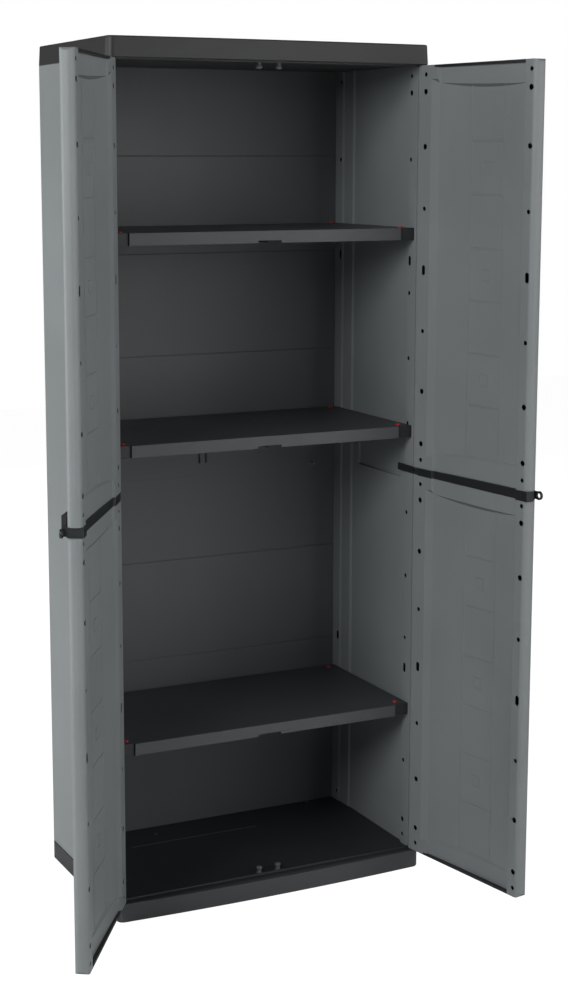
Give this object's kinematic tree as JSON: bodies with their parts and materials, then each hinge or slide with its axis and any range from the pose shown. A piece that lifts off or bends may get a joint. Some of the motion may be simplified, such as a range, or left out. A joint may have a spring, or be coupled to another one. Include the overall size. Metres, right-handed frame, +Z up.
{
  "type": "garden storage cabinet",
  "caption": "Tall grey plastic garden cabinet with two bowed doors that swing wide open, shelves on pegs inside and rings for a padlock.",
  "frame": {"origin": "middle of the base's underside, halfway between the side edges and between the rear edge and the line through the front corners", "axes": "+Z up, +X to the right as seen from the front, -Y out of the front where the doors are; the doors stand open at rest, the right one by 99.8 degrees and the left one by 123.2 degrees"},
  "size_m": [0.9498, 0.7108, 1.7],
  "materials": {
    "grey_plastic": "satin, blow moulded",
    "dark_grey_plastic": "matt, moulded",
    "black_plastic": "matt, moulded",
    "red_plastic": "matt, moulded",
    "light_grey_plastic": "matt, moulded",
    "steel": "zinc plated"
  },
  "bodies": {
    "cabinet": {"base": "dark_grey_plastic", "top_cap": "dark_grey_plastic", "side_panel_left_lower": "grey_plastic", "side_panel_left_upper": "grey_plastic", "side_connector_left": "grey_plastic", "mid_hinge_arm_left": "black_plastic", "mid_hinge_pin_left": "steel", "pivot_pin_bottom_left": "black_plastic", "pivot_pin_top_left": "black_plastic", "side_panel_right_lower": "grey_plastic", "side_panel_right_upper": "grey_plastic", "side_connector_right": "grey_plastic", "mid_hinge_arm_right": "black_plastic", "mid_hinge_pin_right": "steel", "pivot_pin_bottom_right": "black_plastic", "pivot_pin_top_right": "black_plastic", "back_panel_lower": "grey_plastic", "back_panel_upper": "grey_plastic", "back_connector": "grey_plastic", "back_connector_screws": "steel", "shelf_lower": "dark_grey_plastic", "shelf_lower_lock_pegs": "red_plastic", "bracket_lower_front_left": "black_plastic", "bracket_lower_front_right": "black_plastic", "bracket_lower_rear_left": "black_plastic", "bracket_lower_rear_right": "black_plastic", "shelf_middle": "dark_grey_plastic", "shelf_middle_lock_pegs": "red_plastic", "bracket_middle_front_left": "black_plastic", "bracket_middle_front_right": "black_plastic", "bracket_middle_rear_left": "black_plastic", "bracket_middle_rear_right": "black_plastic", "shelf_upper": "dark_grey_plastic", "shelf_upper_lock_pegs": "red_plastic", "bracket_upper_front_left": "black_plastic", "bracket_upper_front_right": "black_plastic", "bracket_upper_rear_left": "black_plastic", "bracket_upper_rear_right": "black_plastic", "door_stops_bottom": "light_grey_plastic", "door_stops_top": "light_grey_plastic"},
    "door_left": {"door_left_lower_panel": "grey_plastic", "door_left_upper_panel": "grey_plastic", "door_left_band": "black_plastic", "door_left_bottom_strip": "black_plastic", "door_left_top_strip": "black_plastic"},
    "door_right": {"door_right_lower_panel": "grey_plastic", "door_right_upper_panel": "grey_plastic", "door_right_band": "black_plastic", "door_right_bottom_strip": "black_plastic", "door_right_top_strip": "black_plastic"}
  },
  "joints": [
    {"name": "door_left_hinge", "type": "hinge", "parent": "cabinet", "child": "door_left", "pos_m": [-0.33, -0.18558, 0.85], "axis": [0, 0, 1], "range_deg": [-41.8, 123.2]},
    {"name": "door_right_hinge", "type": "hinge", "parent": "cabinet", "child": "door_right", "pos_m": [0.33, -0.18558, 0.85], "axis": [0, 0, 1], "range_deg": [-99.8, 65.2]}
  ]
}
